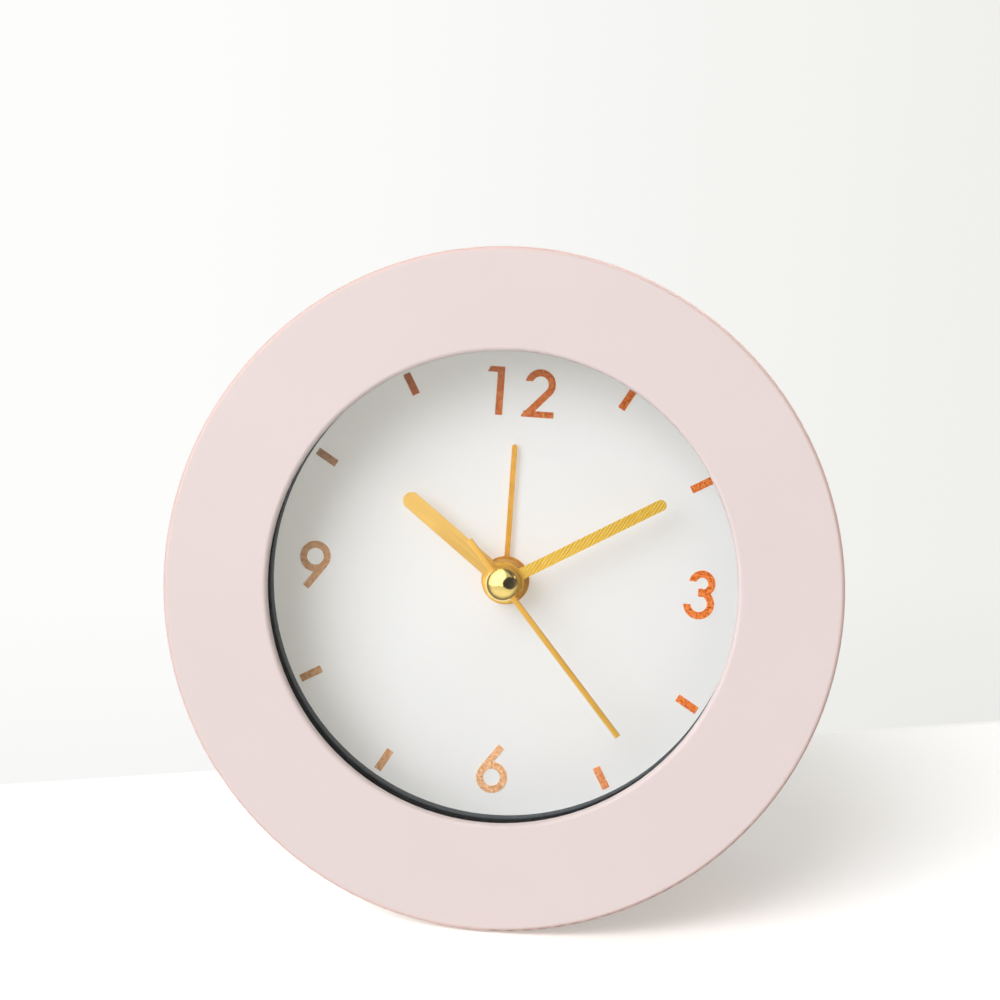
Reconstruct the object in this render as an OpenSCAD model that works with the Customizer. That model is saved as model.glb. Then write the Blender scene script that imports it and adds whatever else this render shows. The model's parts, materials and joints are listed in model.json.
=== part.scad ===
// Round desk alarm clock with a wide flat ring and a battery movement. Sizes in mm.
// The clock's axis runs through the centre of the dial. Depths are counted backwards along it
// from the ring's front. The clock leans back, standing on the ring's lower rear edge and on
// two rubber pads. +Z is up, the dial faces -Y, and the origin is the middle of the footprint.

/* [Ring and glass] */
// Outside diameter of the flat ring
ring_d = 100; // [97:0.5:104]
// Thickness of the ring at its edge
ring_t = 3.2; // [3:0.1:3.6]
// Rounding of the ring's outer edges
ring_edge = 0.7; // [0.4:0.1:1]
// Diameter of the opening inside the lip
opening_d = 69.2; // [68:0.1:70]
// Rounding from the ring's face down to the lip
lip_round = 0.6; // [0.3:0.1:0.9]
// Depth of the glass below the ring's face
glass_depth = 1.7; // [1.4:0.1:1.8]
// Thickness of the glass
glass_t = 1.5; // [1.2:0.1:1.6]

/* [Body] */
// Outside diameter of the drum behind the ring
body_d = 80; // [79.5:0.5:84]
// Rounding of the drum's rear edge
body_edge = 1.5; // [0.5:0.1:1.8]
// Angle by which the clock leans back
lean = 8; // [6:0.5:9]
// Distance from the middle plane to each leg
leg_x = 18; // [15:0.5:21]
// Diameter of each leg
leg_d = 10; // [9:0.2:11]
// Thickness of the back cover
cover_t = 2; // [1.8:0.1:2.4]
// Diameter of the two knobs
knob_d = 11; // [9:0.5:11.5]
// Length of the two knobs
knob_l = 6; // [5:0.5:8]

/* [Dial] */
// Depth of the dial's surface below the ring's face
dial_depth = 13; // [12.2:0.1:14]
// Thickness of the dial
dial_t = 0.8; // [0.6:0.1:1]
// Height of the numerals
numeral_h = 7.4; // [6.6:0.1:7.8]
// Gap from the numerals 3 and 9 to the dial's edge
numeral_side_gap = 3.9; // [3:0.1:5.4]
// Gap from the numerals 12 and 6 to the dial's edge
numeral_top_gap = 3.3; // [2.4:0.1:4.1]
// Length of an hour bar
bar_l = 3.5; // [2.5:0.1:3.9]
// Width of an hour bar
bar_w = 1.15; // [0.8:0.05:1.5]

/* [Hands] */
// Thickness of each hand
hand_t = 0.3; // [0.2:0.05:0.4]
// Length of the hour hand from the centre
hour_hand_l = 19.9; // [17:0.1:22]
// Width of the hour hand
hour_hand_w = 2.6; // [2:0.1:3]
// Length of the minute hand from the centre
minute_hand_l = 27.1; // [24:0.1:30]
// Width of the minute hand
minute_hand_w = 1.7; // [1.2:0.1:2.2]
// Length of the alarm hand from the centre
alarm_hand_l = 20.7; // [17:0.1:22]
// Width of the alarm hand
alarm_hand_w = 0.8; // [0.6:0.05:1.2]
// Length of the second hand from the centre
second_hand_l = 28.2; // [25:0.1:31]
// Length of the second hand's tail
second_tail_l = 8.2; // [6:0.2:10]
// Width of the second hand
second_hand_w = 0.85; // [0.6:0.05:1.2]
// Diameter of the dome over the centre
cap_d = 4.7; // [4.2:0.1:5]
// Angle of the hour hand from 12
hour_at = 306.6; // [0:0.1:360]
// Angle of the minute hand from 12
minute_at = 59.6; // [0:0.1:360]
// Angle of the second hand from 12
second_at = 138.6; // [0:0.1:360]
// Angle of the alarm hand from 12
alarm_at = 359.9; // [0:0.1:360]

/* [Movement] */
// Width and height of the movement's case
case_w = 50; // [49:0.5:51]
// Wall of the movement's case
case_wall = 1.2; // [1:0.1:1.4]
// Diameter of the battery
battery_d = 14.2; // [13.8:0.1:14.5]
// Length of the battery with its raised end
battery_l = 50.5; // [49.5:0.1:50.5]

/* [Hidden] */
$fn = 72;

// Clearances
fit = 0.1;
running = 0.05;
slack = 0.2;
over = 1;

// Ring, glass and black wall
ring_r = ring_d / 2;
opening_r = opening_d / 2;
lip_cover = 1.9;
glass_r = opening_r + lip_cover;
bore_r = glass_r + fit;
tube_wall = 1;
tube_r = bore_r + tube_wall;
tube_end = dial_depth - 2;
nub_out = 0.5;
nub_w = 8;
nub_t = 1;
nub_depth = [tube_end - 2 * nub_t, tube_end - nub_t];
glass_bevel = 0.2;
glass_back = glass_depth + glass_t;
spacer_wall = 0.8;

// Dial
dial_back = dial_depth + dial_t;
dial_hole_r = 3.1;
foil_t = 0.1;
stroke = numeral_h * 0.146;
digit_gap = 6.7;
twelve_shift = -0.35;
bar_gap = 0.75;
dial_edge_r = bore_r - fit - spacer_wall;
bar_outer_r = dial_edge_r - bar_gap;
nine_bowl_r = numeral_h * 0.32;
three_bowl_r = numeral_h * 0.315;
numeral_top_r = dial_edge_r - numeral_top_gap - numeral_h / 2;

// Nested tubes on the axis, from the inside out
arbor_r = 0.5;
tube_step = 0.55;
minute_bore_r = arbor_r + running;
minute_tube_r = minute_bore_r + tube_step;
hour_bore_r = minute_tube_r + running;
hour_tube_r = hour_bore_r + tube_step;
alarm_bore_r = hour_tube_r + running;
alarm_tube_r = alarm_bore_r + tube_step;

// Hands, counted from the dial outwards: alarm, hour, minute, second
hand_rise = 0.7;
tube_beyond = 0.15;
flange_t = 0.35;
flange_in = 0.12;
collet_wall = 0.5;
collet_l = 1;
arbor_beyond = 0.6;
alarm_boss_r = 3.65;
hour_boss_r = 3.35;
minute_boss_r = 3.1;
second_boss_r = 2.6;
cap_rim = 0.3;
cap_rise = 1;
cap_gap = 0.6;
cap_front = glass_back + cap_gap;
hand_step = (dial_depth - hand_rise - hand_t - cap_rim - cap_rise - cap_front) / 3;

// Movement
floor_t = 2;
floor_back = dial_back + floor_t;
case_in = floor_back + case_wall;
wheel_t = 0.7;
level_step = 1.6;
first_level = 0.4;
pinion_over = 0.3;
last_level = 6;
end_gap = 0.9;
case_out = level(last_level) + wheel_t + end_gap;
rear_back = case_out + case_wall;
case_round = 5;
case_split = case_in + 5;
floor_hole_r = 6;
collar_r = floor_hole_r - 0.2;
ear_r = 3;
ear_x = 14;
ear_out = 3;
ear_t = 1.5;
ear_rise = 3;
post_r = 2.6;
small_screw_r = 0.8;
small_screw_l = 4;
small_head_r = 1.7;
small_head_t = 1.2;
pivot_r = 0.3;
pivot_l = 0.8;
pivot_gap = 0.1;
set_shaft_r = 1;

// Gear teeth: height over the pitch circle in modules, half width in pitches
wheel_tooth = [[-1.1, 0.24], [0, 0.2], [0.5, 0.14], [0.9, 0.05]];
pinion_tooth = [[-1.2, 0.14], [0, 0.15], [0.33, 0.11], [0.6, 0.05]];

// Tooth counts and modules of the time train and the setting gears
second_teeth = 60;
second_pinion_teeth = 8;
third_teeth = 64;
third_pinion_teeth = 8;
minute_teeth = 60;
cannon_teeth = 12;
motion_teeth = 36;
motion_pinion_teeth = 10;
hour_teeth = 40;
fifth_teeth = 60;
fifth_pinion_teeth = 12;
rotor_teeth = 10;
alarm_teeth = 40;
alarm_pinion_teeth = 10;
set_pinion_teeth = 12;
minute_module = 0.24;
second_module = 0.23;
rotor_module = 0.2;
motion_module = 0.35;
third_r = centre_distance(minute_teeth, third_pinion_teeth, minute_module);
third_module = 2 * third_r / (third_teeth + second_pinion_teeth);
motion_r = centre_distance(cannon_teeth, motion_teeth, motion_module);
hour_module = 2 * motion_r / (hour_teeth + motion_pinion_teeth);
fifth_r = centre_distance(second_teeth, fifth_pinion_teeth, second_module);
rotor_r = centre_distance(fifth_teeth, rotor_teeth, rotor_module);
set_r = centre_distance(motion_teeth, set_pinion_teeth, motion_module);
alarm_r = centre_distance(alarm_teeth, alarm_pinion_teeth, motion_module);

// Directions from one arbor to the next, and the arbors' places
third_dir = -20;
motion_dir = 60;
set_dir = 20;
fifth_dir = 200;
rotor_dir = 215;
alarm_dir = 135;
third_at = polar(third_r, third_dir);
motion_at = polar(motion_r, motion_dir);
set_at = motion_at + polar(set_r, set_dir);
fifth_at = polar(fifth_r, fifth_dir);
rotor_at = fifth_at + polar(rotor_r, rotor_dir);
alarm_set_at = polar(alarm_r, alarm_dir);

// Motor
magnet_r = 2.5;
rotor_hub_r = 1.3;
stator_t = 0.8;
stator_depth = level(3) - stator_t - pinion_over;
magnet_over = 0.6;
magnet_depth = [stator_depth - magnet_over, stator_depth + stator_t + magnet_over];
stator_half_l = 7.5;
stator_half_w = 3.2;
stator_hole_r = 2.9;
stator_leg_w = 3;
stator_leg_l = 11.6;
coil_drop = 10.1;
core_w = 2.6;
core_t = 0.8;
bobbin_wall = 0.6;
bobbin_flange = 7.8;
winding_r = 3.7;

// Electrical pieces
wall_gap = 1.3;
board_at = [-3, case_wall + wall_gap - case_w / 2];
board_size = [23, 11];
board_t = 1;
board_gap = 0.4;
board_back = case_out - board_gap;
board_front = board_back - board_t;
strip_t = 0.3;
strip_w = 2.5;
strip_on_board = 6.5;
strip_y = board_at[1] + strip_on_board;
slot_x = case_w / 2 - case_wall - strip_t - pinion_over;
chip_on_board = [8, 7.5];
chip_r = 2.5;
chip_rise = 0.8;
crystal_on_board = [14, 2.5];
crystal_r = 1;
crystal_l = 6;
buzzer_r = 6.5;
buzzer_gap = 1.8;
buzzer_at = (case_w / 2 - case_wall - buzzer_gap - buzzer_r) * [-1, 1];
buzzer_t = 6.5;
sound_hole_r = 1;
spring_y = 0.4;
spring_w = 2;
spring_t = 0.2;
spring_from = case_wall + wall_gap - case_w / 2;
spring_to = -4.5;
spring_post = 2;
spring_depth = level(1) + wheel_t + pinion_over;

// Battery and its tray
battery_y = -12.5;
battery_gap = strip_t + fit;
cap_length = 1.2;
cap_radius = 2.7;
tray_gap = 0.3;
tray_wall = 1;
tongue_room = 2.9;
tray_half_l = (battery_l + tongue_room) / 2 + slack + strip_t;
tray_half_w = battery_d / 2 + tray_gap;
battery_depth = rear_back + battery_gap + battery_d / 2;
tray_end = battery_depth + battery_d / 2 + 0.1;

// Drum, cover and door
body_r = body_d / 2;
front_bore_r = tube_r + fit;
groove_r = tube_r + nub_out + fit;
body_wall = 2;
rear_bore_r = body_r - body_wall;
cover_front = tray_end + tray_gap;
back = cover_front + cover_t;
cover_r = rear_bore_r - fit;
boss_r = 3;
boss_gap = 1.5;
boss_at = rear_bore_r - boss_r - boss_gap;
rib_w = 2;
cover_screw_r = 1.2;
cover_screw_l = 12;
cover_head_r = 2.5;
cover_head_t = 1.3;
slot_w = 0.6;
slot_d = 0.5;
door_over = 0.8;
door_w = 2 * (tray_half_l + door_over);
door_h = 2 * (tray_half_w + door_over);
door_t = 1.1;
door_seat = 1.2;
door_notch_r = 3;
door_rest = 1.2;
dish_gap = 1;
dish_d = 0.8;
knob_gap = 0.4;
knob_front = back - dish_d + knob_gap;
knob_back = knob_front + knob_l;
knob_edge = 0.5;
knob_grips = 24;
grip_r = 0.35;
knob_hole_r = set_shaft_r + 0.5;
shaft_in_knob = 4;
vent_r = 0.8;
vent_ring_r = 3.2;
vent_count = 6;

// Slide switch
switch_at = [17, 19];
switch_travel = 4;
switch_neck = 3;
switch_button = [6, 4];
switch_button_t = 1.8;
switch_plate = [12, 7];
switch_plate_t = 0.8;
switch_foot = 5;
contact_rise = 0.3;
contact_size = [9, 1.2];
contact_gap = 2.8;

// Legs and pads
leg_inset = 3.6;
leg_depth = back - leg_d / 2 - leg_inset;
pad_r = leg_d / 2 - 1;
pad_t = 1.6;
pad_out = 0.8;

// Where the axis lies: the ring's lower rear edge touches the table, and the front and
// rear ends are the same distance from the origin
axis_z = (ring_r - ring_edge) * cos(lean) + (ring_t - ring_edge) * sin(lean) + ring_edge;
front_y = -(ring_r - ring_edge) * sin(lean) + ring_edge * cos(lean) - ring_edge;
knob_top = set_at[1] + knob_d / 2 - knob_edge;
rear_y = knob_top * sin(lean) + (knob_back - knob_edge) * cos(lean) + knob_edge;
axis_y = -(front_y + rear_y) / 2;
leg_y = axis_y + leg_depth * cos(lean) - body_r * sin(lean);

function polar(r, a) = [r * cos(a), r * sin(a)];
function clock_angle(a) = 90 - a;
function centre_distance(a, b, m) = (a + b) * m / 2;
// Front face of the wheels on a level of the movement
function level(n) = case_in + first_level + n * level_step;
// Back face of a hand, counted from the alarm hand
function hand_depth(n) = dial_depth - hand_rise - n * hand_step;
// First tooth's angle on a gear that meshes with another, seen in a given direction from it
function mesh_angle(dir, teeth, first, meshing) =
  dir + 180 - (0.5 - (dir - first) * teeth / 360) * 360 / meshing;

// Moves a shape from the clock's own axis to its place on the table
module on_axis() {
  translate([0, axis_y, axis_z])
    rotate([90 - lean, 0, 0])
      children();
}

// Extrudes a flat shape between two depths
module slab(front, rear) {
  translate([0, 0, -rear])
    linear_extrude(rear - front)
      children();
}

module ring_2d(outer, inner) {
  difference() {
    circle(outer);
    circle(inner);
  }
}

module box_2d(low, high) {
  translate(low)
    square(high - low);
}

// Square with round corners
module rounded_2d(w, r) {
  square([w, w - 2 * r], center = true);
  square([w - 2 * r, w], center = true);
  for (x = [-1, 1], y = [-1, 1])
    translate([x * (w / 2 - r), y * (w / 2 - r)])
      circle(r);
}

// What a rounding of radius r takes off a corner that points in the directions sx and sy
module corner_cut_2d(corner, sx, sy, r) {
  translate(corner - [sx * r, sy * r])
    difference() {
      box_2d([min(0, sx * (r + over)), min(0, sy * (r + over))],
             [max(0, sx * (r + over)), max(0, sy * (r + over))]);
      circle(r);
    }
}

module gear_2d(teeth, gear_module, tooth, first) {
  pitch = 360 / teeth;
  n = len(tooth);
  polygon([
    for (i = [0 : teeth - 1], j = [0 : 2 * n - 1])
      let (side = j < n ? -1 : 1, k = j < n ? j : 2 * n - 1 - j)
        polar(teeth * gear_module / 2 + gear_module * tooth[k][0],
              first + pitch * (i + side * tooth[k][1]))
  ]);
}

module wheel(n, teeth, gear_module, first, bore = 0) {
  slab(level(n), level(n) + wheel_t)
    difference() {
      gear_2d(teeth, gear_module, wheel_tooth, first);
      if (bore > 0)
        circle(bore);
    }
}

module pinion(n, teeth, gear_module, first, bore = 0) {
  slab(level(n) - pinion_over, level(n) + wheel_t + pinion_over)
    difference() {
      gear_2d(teeth, gear_module, pinion_tooth, first);
      if (bore > 0)
        circle(bore);
    }
}

// Arbor with a thinner pivot at each end
module arbor() {
  slab(case_in + pivot_gap, case_out - pivot_gap)
    circle(arbor_r);
  slab(case_in - pivot_l + pivot_gap, case_out + pivot_l - pivot_gap)
    circle(pivot_r);
}

module front_ring() {
  color("#e9d8d5")
    on_axis() {
      rotate_extrude()
        difference() {
          union() {
            box_2d([opening_r, -ring_t], [ring_r, 0]);
            box_2d([bore_r, -tube_end], [tube_r, -ring_t / 2]);
          }
          box_2d([0, -tube_end - over], [bore_r, -glass_depth]);
          corner_cut_2d([ring_r, 0], 1, 1, ring_edge);
          corner_cut_2d([ring_r, -ring_t], 1, -1, ring_edge);
          corner_cut_2d([opening_r, 0], -1, 1, lip_round);
        }
      slab(nub_depth[0], nub_depth[1])
        intersection() {
          ring_2d(tube_r + nub_out, tube_r - tube_wall / 2);
          union() {
            square([2 * ring_d, nub_w], center = true);
            square([nub_w, 2 * ring_d], center = true);
          }
        }
    }
}

module lens() {
  color("#dfeaf0", 0.3)
    on_axis()
      rotate_extrude()
        polygon([
          [0, -glass_back], [glass_r - glass_bevel, -glass_back],
          [glass_r, -glass_back + glass_bevel], [glass_r, -glass_depth - glass_bevel],
          [glass_r - glass_bevel, -glass_depth], [0, -glass_depth]
        ]);
}

module spacer_ring() {
  color("#1d1f22")
    on_axis()
      slab(glass_back, dial_depth)
        ring_2d(dial_edge_r + spacer_wall, dial_edge_r);
}

module dial() {
  color("#f2f2f0")
    on_axis()
      slab(dial_depth, dial_back)
        ring_2d(dial_edge_r + spacer_wall, dial_hole_r);
}

// Stroke that leaves a round bowl as a tangent, sloping down to the left
module tail_2d(centre, r, dir, length) {
  side = dir - 90;
  polygon([
    centre + polar(r, side), centre + polar(r - stroke, side),
    centre + polar(r - stroke, side) - polar(length, dir),
    centre + polar(r, side) - polar(length, dir)
  ]);
}

module one_2d() {
  w = numeral_h * 0.355;
  flag = numeral_h * 0.116;
  slant = numeral_h * 0.055;
  translate([-w / 2, -numeral_h / 2])
    polygon([
      [w - stroke, 0], [w, 0], [w, numeral_h], [slant, numeral_h],
      [0, numeral_h - flag], [w - stroke, numeral_h - flag]
    ]);
}

module two_2d() {
  w = numeral_h * 0.67;
  bowl_r = numeral_h * 0.315;
  centre = [numeral_h * 0.36, numeral_h - bowl_r];
  foot = [0, numeral_h * 0.04];
  terminal = centre[1] + numeral_h * 0.057;
  away = centre - foot;
  dir = atan2(away[1], away[0]) - asin((bowl_r - stroke) / norm(away));
  lap = 4;
  far = 2 * bowl_r;
  translate([-w / 2, -numeral_h / 2]) {
    difference() {
      translate(centre)
        ring_2d(bowl_r, bowl_r - stroke);
      polygon([
        centre, centre + polar(far, dir - 90 - lap), centre - [0, far], centre - [far, far],
        [centre[0] - far, terminal], [centre[0], terminal]
      ]);
    }
    intersection() {
      tail_2d(centre, bowl_r, dir, norm(away));
      square([w, numeral_h]);
    }
    box_2d([foot[1], 0], [w, stroke * 0.88]);
  }
}

module three_2d() {
  upper_r = numeral_h * 0.27;
  lower_r = three_bowl_r;
  middle = numeral_h * 0.29;
  translate([-lower_r, -numeral_h / 2])
    difference() {
      union() {
        translate([numeral_h * 0.36, numeral_h - upper_r])
          ring_2d(upper_r, upper_r - stroke);
        translate([lower_r, lower_r])
          ring_2d(lower_r, lower_r - stroke);
      }
      box_2d([-over, numeral_h * 0.296], [middle, numeral_h * 0.768]);
    }
}

module nine_2d() {
  bowl_r = nine_bowl_r;
  centre = [bowl_r, numeral_h - bowl_r];
  dir = 54;
  translate([-bowl_r, -numeral_h / 2]) {
    translate(centre)
      ring_2d(bowl_r, bowl_r - stroke);
    tail_2d(centre, bowl_r, dir, (centre[1] - bowl_r * cos(dir)) / sin(dir));
  }
}

module hour_numerals() {
  color("#c8814e")
    on_axis()
      slab(dial_depth - foil_t, dial_depth) {
        translate([twelve_shift - digit_gap / 2, numeral_top_r])
          one_2d();
        translate([twelve_shift + digit_gap / 2, numeral_top_r])
          two_2d();
        translate([dial_edge_r - numeral_side_gap - three_bowl_r, 0])
          three_2d();
        translate([0, -numeral_top_r])
          rotate(180)
            nine_2d();
        translate([numeral_side_gap + nine_bowl_r - dial_edge_r, 0])
          nine_2d();
      }
}

module hour_bars() {
  color("#c8814e")
    on_axis()
      slab(dial_depth - foil_t, dial_depth)
        for (hour = [1 : 11])
          if (hour % 3 != 0)
            rotate(-30 * hour)
              translate([-bar_w / 2, bar_outer_r - bar_l])
                square([bar_w, bar_l]);
}

// Flat hand that points along a clock angle. Its boss has a flange and a collet behind it,
// pressed on its tube.
module hand(n, at, length, width, tail, boss_r, bore_r, round_end) {
  depth = hand_depth(n);
  slab(depth - hand_t, depth)
    difference() {
      union() {
        rotate(clock_angle(at)) {
          box_2d([-tail, -width / 2], [round_end ? length - width / 2 : length, width / 2]);
          if (round_end)
            translate([length - width / 2, 0])
              circle(width / 2);
        }
        circle(boss_r);
      }
      circle(bore_r);
    }
  slab(depth, depth + flange_t)
    ring_2d(boss_r - flange_in, bore_r);
  slab(depth, depth + collet_l)
    ring_2d(bore_r + collet_wall, bore_r);
}

module alarm_hand() {
  color("#dcab5c")
    on_axis()
      hand(0, alarm_at, alarm_hand_l, alarm_hand_w, 0, alarm_boss_r, alarm_tube_r, true);
}

module hour_hand() {
  color("#e2b469")
    on_axis()
      hand(1, hour_at, hour_hand_l, hour_hand_w, 0, hour_boss_r, hour_tube_r, true);
}

module minute_hand() {
  color("#d8ac4c")
    on_axis()
      hand(2, minute_at, minute_hand_l, minute_hand_w, 0, minute_boss_r, minute_tube_r, true);
}

module second_hand() {
  color("#dca84e")
    on_axis()
      hand(3, second_at, second_hand_l, second_hand_w, second_tail_l, second_boss_r, arbor_r,
           false);
}

module second_hand_cap() {
  base = hand_depth(3) - hand_t;
  cap_r = cap_d / 2;
  dome_r = (cap_r * cap_r + cap_rise * cap_rise) / (2 * cap_rise);
  color("#e0b040")
    on_axis()
      difference() {
        union() {
          slab(base - cap_rim, base)
            circle(cap_r);
          intersection() {
            translate([0, 0, -(base - cap_rim) + cap_rise - dome_r])
              sphere(dome_r);
            slab(base - cap_rim - cap_rise - over, base - cap_rim)
              circle(cap_r);
          }
        }
        slab(base - arbor_beyond - fit, base + over)
          circle(arbor_r);
      }
}

module drum_holes() {
  slab(-over, dial_back)
    circle(front_bore_r);
  slab(nub_depth[0] - fit, nub_depth[1] + fit)
    circle(groove_r);
  slab(dial_back - over, floor_back + over)
    circle(floor_hole_r);
  slab(floor_back, back + over)
    circle(rear_bore_r);
}

module at_bosses() {
  for (a = [0 : 90 : 270])
    rotate(a)
      translate([boss_at, 0])
        children();
}

module at_ears() {
  for (x = [-1, 1], y = [-1, 1])
    translate([x * ear_x, y * (case_w / 2 + ear_out)])
      children();
}

module at_legs() {
  for (x = [-1, 1])
    translate([x * leg_x, leg_y, 0])
      children();
}

module rear_housing() {
  color("#e9d8d5")
    difference() {
      union() {
        difference() {
          union() {
            on_axis()
              rotate_extrude()
                difference() {
                  box_2d([0, -back], [body_r, -ring_t]);
                  corner_cut_2d([body_r, -back], 1, -1, body_edge);
                }
            at_legs()
              translate([0, 0, pad_out])
                cylinder(h = axis_z - body_r * 0.7, d = leg_d);
          }
          on_axis()
            drum_holes();
        }
        on_axis() {
          slab(floor_back - over, cover_front)
            for (a = [0 : 90 : 270])
              rotate(a) {
                translate([boss_at, 0])
                  circle(boss_r);
                box_2d([boss_at, -rib_w / 2], [rear_bore_r + over / 2, rib_w / 2]);
              }
          slab(floor_back - over, floor_back + ear_rise)
            at_ears()
              circle(post_r);
        }
      }
      on_axis() {
        slab(cover_front - cover_screw_l, cover_front + over)
          at_bosses()
            circle(cover_screw_r);
        slab(floor_back + ear_rise + ear_t - small_screw_l - fit, floor_back + ear_rise + over)
          at_ears()
            circle(small_screw_r);
      }
      at_legs()
        translate([0, 0, -over])
          cylinder(h = pad_t + over + running, r = pad_r + running);
    }
}

module foot_pads() {
  color("#2b2b2d")
    at_legs()
      cylinder(h = pad_t, r = pad_r);
}

module back_cover() {
  color("#232427")
    on_axis()
      difference() {
        slab(cover_front, back)
          circle(cover_r);
        translate([0, battery_y])
          slab(cover_front - over, back + over)
            square([door_w - 2 * door_rest, door_h - 2 * door_rest], center = true);
        translate([0, battery_y])
          slab(back - door_seat, back + over)
            square([door_w + 2 * slack, door_h + 2 * slack], center = true);
        for (at = [set_at, alarm_set_at])
          translate(at) {
            slab(cover_front - over, back + over)
              circle(knob_hole_r);
            slab(back - dish_d, back + over)
              circle(knob_d / 2 + dish_gap);
          }
        slab(cover_front - over, back + over) {
          translate(switch_at + [switch_travel / 2, 0])
            square([switch_neck + switch_travel + 2 * slack, switch_neck + 2 * slack],
                   center = true);
          translate(buzzer_at) {
            circle(vent_r);
            for (i = [1 : vent_count])
              rotate(i * 360 / vent_count)
                translate([vent_ring_r, 0])
                  circle(vent_r);
          }
          at_bosses()
            circle(cover_screw_r + slack);
        }
        at_bosses()
          translate([0, 0, -back])
            cylinder(h = cover_head_t, r1 = cover_head_r + running, r2 = cover_screw_r + running);
      }
}

module cover_screws() {
  color("#b9bcc0")
    on_axis()
      at_bosses()
        difference() {
          union() {
            translate([0, 0, -back])
              cylinder(h = cover_head_t, r1 = cover_head_r, r2 = cover_screw_r);
            slab(cover_front - cover_screw_l + over, back - cover_head_t)
              circle(cover_screw_r);
          }
          slab(back - slot_d, back + over) {
            square([slot_w, 2 * cover_head_r - slot_w], center = true);
            square([2 * cover_head_r - slot_w, slot_w], center = true);
          }
        }
}

module battery_door() {
  color("#232427")
    on_axis()
      translate([0, battery_y])
        difference() {
          slab(back - door_t, back)
            square([door_w, door_h], center = true);
          translate([0, door_h / 2])
            slab(back - door_t / 2, back + over)
              circle(door_notch_r);
        }
}

// Round knob with grip grooves, pressed on the end of a setting shaft
module knob(at) {
  r = knob_d / 2;
  translate(at)
    difference() {
      rotate_extrude()
        difference() {
          box_2d([0, -knob_back], [r, -knob_front]);
          corner_cut_2d([r, -knob_back], 1, -1, knob_edge);
        }
      slab(knob_front - over, knob_front + shaft_in_knob)
        circle(set_shaft_r);
      slab(knob_front - over, knob_back + over)
        for (i = [1 : knob_grips])
          rotate(i * 360 / knob_grips)
            translate([r, 0])
              circle(grip_r);
    }
}

module time_knob() {
  color("#303134")
    on_axis()
      knob(set_at);
}

module alarm_knob() {
  color("#303134")
    on_axis()
      knob(alarm_set_at);
}

module alarm_switch_slider() {
  color("#e9d8d5")
    on_axis()
      translate(switch_at) {
        slab(back + slack, back + slack + switch_button_t)
          square(switch_button, center = true);
        slab(rear_back + contact_rise + slack, back + slack + switch_button_t / 2)
          square(switch_neck, center = true);
        slab(cover_front - switch_plate_t - fit, cover_front - fit)
          square(switch_plate, center = true);
        slab(rear_back + contact_rise + fit, rear_back + contact_rise + fit + switch_plate_t)
          square(switch_foot, center = true);
      }
}

module switch_contacts() {
  color("#c9a24b")
    on_axis()
      for (side = [-1, 1])
        translate(switch_at + [switch_travel / 2, side * contact_gap / 2])
          slab(rear_back, rear_back + contact_rise)
            square(contact_size, center = true);
}

module case_wall_2d() {
  difference() {
    rounded_2d(case_w, case_round);
    rounded_2d(case_w - 2 * case_wall, case_round - case_wall);
  }
}

module at_arbors() {
  for (at = [third_at, motion_at, fifth_at, rotor_at])
    translate(at)
      children();
}

module at_set_shafts() {
  for (at = [set_at, alarm_set_at])
    translate(at)
      children();
}

module movement_front_case() {
  color("#d9dad6")
    on_axis()
      difference() {
        union() {
          slab(floor_back, case_in)
            rounded_2d(case_w, case_round);
          slab(case_in - over / 2, case_split)
            case_wall_2d();
          slab(dial_back + fit, floor_back)
            circle(collar_r);
          slab(floor_back + ear_rise, floor_back + ear_rise + ear_t)
            for (x = [-1, 1], y = [-1, 1])
              translate([x * ear_x, y * (case_w / 2 + ear_out)]) {
                circle(ear_r);
                translate([0, -y * (ear_out + case_wall / 2) / 2])
                  square([2 * ear_r, ear_out + case_wall / 2], center = true);
              }
          slab(case_in - over / 2, spring_depth)
            translate([spring_from + spring_post / 2, spring_y])
              square([spring_post, spring_w], center = true);
        }
        slab(0, case_in + over)
          circle(alarm_tube_r + running);
        slab(case_in - pivot_l, case_in + over) {
          at_arbors()
            circle(pivot_r + running);
          at_set_shafts()
            circle(pivot_r + running);
        }
        slab(floor_back + ear_rise - over, floor_back + ear_rise + ear_t + over)
          at_ears()
            circle(small_screw_r + slack);
      }
}

module movement_rear_case() {
  color("#d9dad6")
    on_axis()
      difference() {
        union() {
          slab(case_split, case_out + over / 2)
            case_wall_2d();
          slab(case_out, rear_back) {
            rounded_2d(case_w, case_round);
            tray_2d(tray_wall);
          }
          slab(rear_back - over / 2, tray_end)
            difference() {
              tray_2d(tray_wall);
              tray_2d(0);
            }
        }
        slab(case_out - over, case_out + pivot_l) {
          at_arbors()
            circle(pivot_r + running);
          circle(pivot_r + running);
        }
        slab(case_out - over, rear_back + over) {
          at_set_shafts()
            circle(set_shaft_r + running);
          for (side = [-1, 1])
            translate([side * slot_x, strip_y])
              square([strip_t + 2 * slack, strip_w + 2 * slack], center = true);
          translate(buzzer_at)
            circle(sound_hole_r);
        }
      }
}

module tray_2d(wall) {
  translate([0, battery_y])
    square([2 * (tray_half_l + wall), 2 * (tray_half_w + wall)], center = true);
}

module movement_screws() {
  head = floor_back + ear_rise + ear_t;
  color("#b9bcc0")
    on_axis()
      at_ears()
        difference() {
          union() {
            slab(head, head + small_head_t)
              circle(small_head_r);
            slab(head - small_screw_l, head + small_head_t / 2)
              circle(small_screw_r);
          }
          slab(head + small_head_t - slot_d, head + small_head_t + over)
            square([slot_w, 2 * small_head_r + over], center = true);
        }
}

module alarm_wheel() {
  color("#cfd3cc")
    on_axis() {
      wheel(0, alarm_teeth, motion_module, 0, alarm_bore_r);
      slab(hand_depth(0) - hand_t - tube_beyond, level(0) + wheel_t / 2)
        ring_2d(alarm_tube_r, alarm_bore_r);
    }
}

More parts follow.
